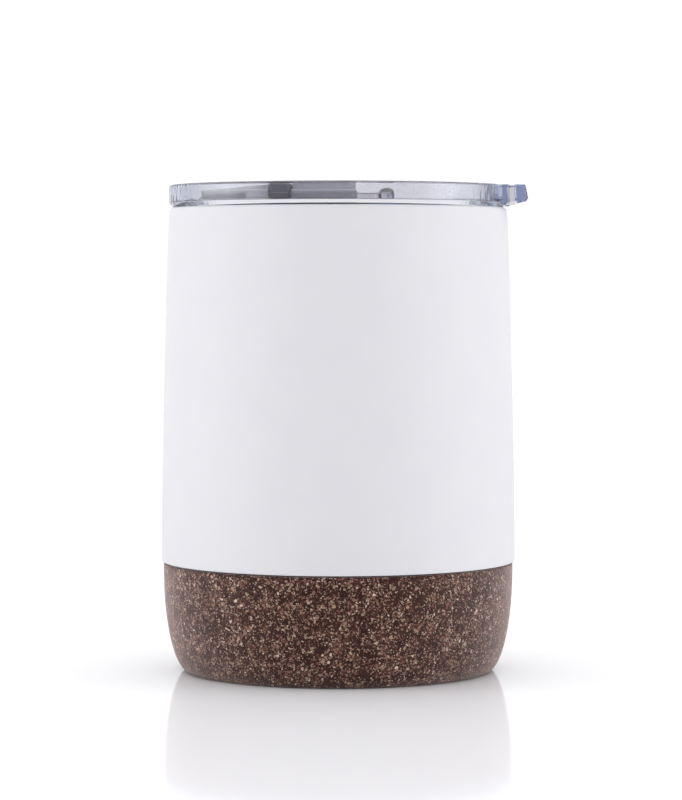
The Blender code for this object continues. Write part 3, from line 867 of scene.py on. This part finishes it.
def make_tab_pocket():
    """The hollow that cores out the tab from below and leaves it with thin walls."""
    outline = rectangle(POCKET_START_X, POCKET_END_X, POCKET_HALF_WIDTH, POCKET_CORNER)
    levels = [(LID_UNDERSIDE - 1.0 * MM, 0.0), (TAB_TOP - POCKET_ROOF, 0.0)]
    return slab("tab_pocket", outline, levels)


def disc(x, radius):
    """The outline of a disc about a point on the X axis."""
    return rectangle(x - radius, x + radius, radius, radius * NEARLY_ROUND)


def make_rails():
    """The two guide rails beside the slider, and the domed posts that end them."""
    rails = []
    root = LID_FLOOR_TOP - PAST
    centre = slider_high.y + GAP + RAIL_WIDTH / 2
    for side in (-1, 1):
        outline = rectangle(RAIL_START_X, RAIL_END_X, RAIL_WIDTH / 2, RAIL_CORNER)
        levels = edge_levels(root, RAIL_TOP, 0.0, RAIL_ROUND)[4:]
        rails.append(slab(f"rail_{side}", moved(outline, side * centre), levels))
        levels = edge_levels(root, POST_TOP, 0.0, POST_DOME)[4:]
        outline = moved(disc(POST_X, POST_RADIUS), side * POST_Y)
        rails.append(slab(f"post_{side}", outline, levels))
    return rails


def make_lid_cutters():
    """Prisms for the sip opening, the stem's slot and the vent, flared at both of their ends."""
    low = LID_FLOOR_BOTTOM
    high = LID_FLOOR_TOP
    sip_start = SIP_X - SIP_HALF_LENGTH
    sip_end = SIP_X + SIP_HALF_LENGTH
    slot_start = STEM_START_X - GAP
    slot_end = STEM_END_X + SLIDER_TRAVEL + GAP
    openings = (
        ("sip", rectangle(sip_start, sip_end, SIP_HALF_WIDTH, SIP_CORNER, steps=16), SIP_FLARE),
        ("slot", rectangle(slot_start, slot_end, STEM_HALF_WIDTH + GAP, SLOT_CORNER), SLOT_FLARE),
        ("vent", disc(VENT_X, VENT_RADIUS), VENT_FLARE),
    )
    cutters = []
    for name, outline, flare in openings:
        levels = [(low - 0.5 * MM, flare), (low, flare), (low + flare, 0.0)]
        levels += [(high - flare, 0.0), (high, flare), (high + 0.5 * MM, flare)]
        cutters.append(slab(f"{name}_cutter", outline, levels))
    return cutters


def make_gasket():
    """A silicone ring with two soft lips, in the groove round the lid's skirt."""
    bore = GROOVE_RADIUS + GAP
    low = gasket_low.z
    high = gasket_high.z
    middle = (low + high) / 2
    lip = (high - low) / 4
    reach = gasket_high.y
    corners = [
        (bore, high, GASKET_EDGE),
        (GASKET_NECK, high, GASKET_EDGE),
        (reach, high - lip, GASKET_LIP_EDGE),
        (GASKET_NECK, middle, GASKET_EDGE),
        (reach, low + lip, GASKET_LIP_EDGE),
        (GASKET_NECK, low, GASKET_EDGE),
        (bore, low, GASKET_EDGE),
    ]
    gasket = turned("gasket_ring", rounded(corners, closed=True))
    clear = silicone("clear_silicone_looks", (0.78, 0.79, 0.81))
    finish_piece(gasket, clear, "gasket", "lid_gasket")


# ---------------------------------------------------------------- the slider


def make_slider():
    """The slider: a plate with a ramped nose and a raised grip, cut out for the clip and seal."""
    end_x = slider_high.x
    half_width = slider_high.y
    plate_outline = rectangle(
        slider_low.x, end_x, half_width, SLIDER_TAIL_CORNER, SLIDER_NOSE_CORNER, steps=16
    )
    levels = edge_levels(
        slider_low.z, SLIDER_PLATE_TOP, SLIDER_LOWER_ROUND, SLIDER_UPPER_ROUND
    )
    slider = slab("slider_smoky", plate_outline, levels)

    nose_outline = rectangle(
        RAMP_START_X, RAMP_END_X, GRIP_HALF_WIDTH, RAMP_TAIL_CORNER, RAMP_NOSE_CORNER
    )
    nose = slab("ramp", nose_outline, [(slider_low.z + OVERLAP, 0.0), (RAMP_HIGH, 0.0)])
    fall = (RAMP_HIGH - RAMP_LOW) / (RAMP_END_X - RAMP_START_X)
    for vertex in nose.data.vertices:
        if vertex.co.z > SLIDER_PLATE_TOP:
            vertex.co.z -= fall * (RAMP_END_X - vertex.co.x)

    grip_end = end_x - GRIP_INSET
    grip_root = SLIDER_PLATE_TOP - OVERLAP
    grip_outline = rectangle(GRIP_START_X, grip_end, GRIP_HALF_WIDTH, GRIP_CORNER)
    grip_levels = edge_levels(grip_root, slider_high.z, 0.0, GRIP_ROUND)[4:]
    combine(slider, [nose, slab("grip", grip_outline, grip_levels)], "UNION")

    below = slider_low.z - PAST
    above = slider_high.z + PAST
    hole_outline = rectangle(
        STEM_START_X - GAP, STEM_END_X + GAP, STEM_HALF_WIDTH + GAP, STEM_HOLE_CORNER
    )
    hole = slab("stem_hole", hole_outline, [(below, 0.0), (above, 0.0)])
    start = BAR_START_X - GAP / 2
    end = BAR_END_X + GAP / 2
    channel_outline = rectangle(start, end, half_width + GAP, CHANNEL_CORNER, steps=2)
    channel = slab("channel", channel_outline, [(BAR_BOTTOM - GAP / 2, 0.0), (above, 0.0)])
    notch_start = FOOT_INNER_Y - GAP / 2
    notch_half = (half_width + GAP - notch_start) / 2
    notch_outline = rectangle(start, end, notch_half, CHANNEL_CORNER, steps=2)
    notch_levels = [(below, 0.0), (BAR_BOTTOM, 0.0)]
    notches = []
    for side in (-1, 1):
        outline = moved(notch_outline, side * (notch_start + notch_half))
        notches.append(slab(f"notch_{side}", outline, notch_levels))
    recess_outline = rectangle(
        seal_low.x - GAP,
        seal_high.x + GAP,
        seal_high.y + GAP,
        SEAL_TAIL_CORNER + GAP,
        SEAL_NOSE_CORNER + GAP,
    )
    recess = slab("recess", recess_outline, [(below, 0.0), (seal_high.z + GAP, 0.0)])
    combine(slider, [hole, channel, *notches, recess], "DIFFERENCE")
    finish_piece(slider, smoky_plastic(), "slider", "lid_slider")


def make_slider_seal():
    """The silicone pad under the slider's nose, over the sip opening."""
    outline = rectangle(
        seal_low.x, seal_high.x, seal_high.y, SEAL_TAIL_CORNER, SEAL_NOSE_CORNER
    )
    levels = edge_levels(seal_low.z, seal_high.z, SEAL_ROUND, SEAL_ROUND)
    seal = slab("seal_pad", outline, levels)
    grey = silicone("grey_silicone_looks", (0.88, 0.88, 0.91))
    finish_piece(seal, grey, "slider", "slider_seal")


def make_retainer():
    """The clip under the floor, its stem through the slot, and the cross bar with two feet."""
    clip_top = LID_FLOOR_BOTTOM - GAP
    outline = rectangle(clip_low.x, clip_high.x, CLIP_HALF_WIDTH, CLIP_CORNER)
    levels = edge_levels(clip_low.z, clip_top, CLIP_ROUND, CLIP_ROUND)
    clip = slab("retainer_clip", outline, levels)
    stem_low = clip_low.z + 0.5 * MM
    stem_high = clip_high.z - 0.5 * MM
    stem_outline = rectangle(STEM_START_X, STEM_END_X, STEM_HALF_WIDTH, STEM_CORNER)
    stem = slab("stem", stem_outline, edge_levels(stem_low, stem_high, 0.0, STEM_ROUND)[4:])
    bar_outline = rectangle(BAR_START_X, BAR_END_X, clip_high.y, BAR_CORNER)
    bar_levels = edge_levels(BAR_BOTTOM, clip_high.z, BAR_LOWER_ROUND, BAR_UPPER_ROUND)
    combine(clip, [stem, slab("cross_bar", bar_outline, bar_levels)], "UNION")
    foot_half = (clip_high.y - FOOT_INNER_Y) / 2
    foot_outline = rectangle(BAR_START_X, BAR_END_X, foot_half, FOOT_CORNER)
    foot_levels = [(FOOT_BOTTOM, 0.0), (BAR_BOTTOM + OVERLAP, 0.0)]
    feet = []
    for side in (-1, 1):
        outline = moved(foot_outline, side * (FOOT_INNER_Y + foot_half))
        feet.append(slab(f"foot_{side}", outline, foot_levels))
    combine(clip, feet, "UNION")
    dark = moulded_plastic("dark_plastic_looks", (0.21, 0.206, 0.235), 0.30)
    finish_piece(clip, dark, "slider", "slider_retainer")


# ---------------------------------------------------------------- pieces that keep their CAD shape


def finish_hidden_pieces():
    """Better materials for the pieces inside the double wall and under the cork."""
    looks = {
        "shell_bottom_plate": brushed_steel("sheet_steel_looks", (0.56, 0.56, 0.55), 0.36),
        "vacuum_port_seal": moulded_plastic("solder_glass_looks", (0.16, 0.18, 0.20), 0.22),
        "getter_cup": brushed_steel("nickel_strip_looks", (0.52, 0.50, 0.46), 0.33),
        "getter_pellet": moulded_plastic("getter_alloy_looks", (0.10, 0.10, 0.11), 0.70),
        "base_adhesive_pad": moulded_plastic("adhesive_looks", (0.58, 0.55, 0.46), 0.45),
    }
    for node, material in looks.items():
        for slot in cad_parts[node].material_slots:
            slot.material = material


# ---------------------------------------------------------------- stage, light and camera

# Radiance of the tent's walls, by degrees away from the front. Left and right are alike.
TENT_RING = (
    (0, 0.56),
    (30, 0.42),
    (52, 0.42),
    (68, 0.95),
    (80, 2.15),
    (98, 1.84),
    (110, 0.75),
    (122, 0.45),
    (138, 1.06),
    (180, 1.06),
)
TENT_PEAK = 2.5
# Radiance of its roof, which takes over from the walls between two heights of a unit vector.
TENT_ROOF = 1.8
TENT_ROOF_FROM = 0.70
TENT_ROOF_TO = 0.86
FLOOR_HALF_SIZE = 6.0


def make_floor():
    """A glossy white floor, which mirrors the foot of the cup."""
    shape = bmesh.new()
    bmesh.ops.create_grid(shape, x_segments=1, y_segments=1, size=FLOOR_HALF_SIZE)
    floor = add_object("studio_floor", shape)
    n = Nodes("white_acrylic")
    n.set(Metallic=0.0, IOR=1.155)
    wave = n.noise(0.5, detail=1.0)
    tone = n.ramp(wave, [(0.3, (0.905, 0.905, 0.930)), (0.7, (0.915, 0.915, 0.940))])
    n.feed(Base_Color=tone, Roughness=n.range(wave, 0.06, 0.09, 0.3, 0.7))
    floor.data.materials.append(n.material)


def make_world():
    """A soft white tent: bright panels at both sides, a bright top and back, and a dim front."""
    world = bpy.data.worlds.new("tent")
    bpy.context.scene.world = world
    world.use_nodes = True
    tree = world.node_tree
    background = tree.nodes["Background"]
    direction = tree.nodes.new("ShaderNodeTexCoord").outputs["Generated"]
    parts = tree.nodes.new("ShaderNodeSeparateXYZ")
    tree.links.new(direction, parts.inputs["Vector"])
    sideways = maths(tree, "ABSOLUTE", parts.outputs["X"])
    forwards = maths(tree, "MULTIPLY", parts.outputs["Y"], -1.0)
    half_turns = maths(tree, "DIVIDE", maths(tree, "ARCTAN2", sideways, forwards), pi)
    stops = [(degrees / 180.0, (radiance / TENT_PEAK,) * 3) for degrees, radiance in TENT_RING]
    walls = maths(tree, "MULTIPLY", ramp(tree, half_turns, stops), TENT_PEAK)

    height = tree.nodes.new("ShaderNodeMapRange")
    height.interpolation_type = "SMOOTHSTEP"
    height.inputs["From Min"].default_value = TENT_ROOF_FROM
    height.inputs["From Max"].default_value = TENT_ROOF_TO
    tree.links.new(parts.outputs["Z"], height.inputs["Value"])
    roof_share = height.outputs["Result"]
    roof = maths(tree, "MULTIPLY", roof_share, TENT_ROOF)
    wall_share = maths(tree, "SUBTRACT", 1.0, roof_share)
    total = maths(tree, "ADD", roof, maths(tree, "MULTIPLY", walls, wall_share))
    background.inputs["Color"].default_value = (0.99, 0.99, 1.0, 1.0)
    tree.links.new(total, background.inputs["Strength"])


def make_camera():
    """A long lens a little above the cup's middle, looking slightly down."""
    camera_data = bpy.data.cameras.new("camera")
    camera = bpy.data.objects.new("camera", camera_data)
    bpy.context.scene.collection.objects.link(camera)
    camera_data.sensor_width = 36.0
    camera_data.lens = CAMERA_LENS
    camera_data.clip_start = 0.05
    camera_data.clip_end = 30.0
    camera.location = CAMERA_PLACE
    camera.rotation_euler = (radians(90.0 - CAMERA_DOWN), 0.0, 0.0)
    bpy.context.scene.camera = camera


def set_view():
    settings = bpy.context.scene.view_settings
    settings.view_transform = "Standard"
    settings.look = "None"
    settings.exposure = 0.0
    settings.gamma = 1.0


make_camera()
make_world()
make_floor()
set_view()
make_shell()
make_liner()
make_cork()
make_lid()
make_gasket()
make_slider()
make_slider_seal()
make_retainer()
finish_hidden_pieces()
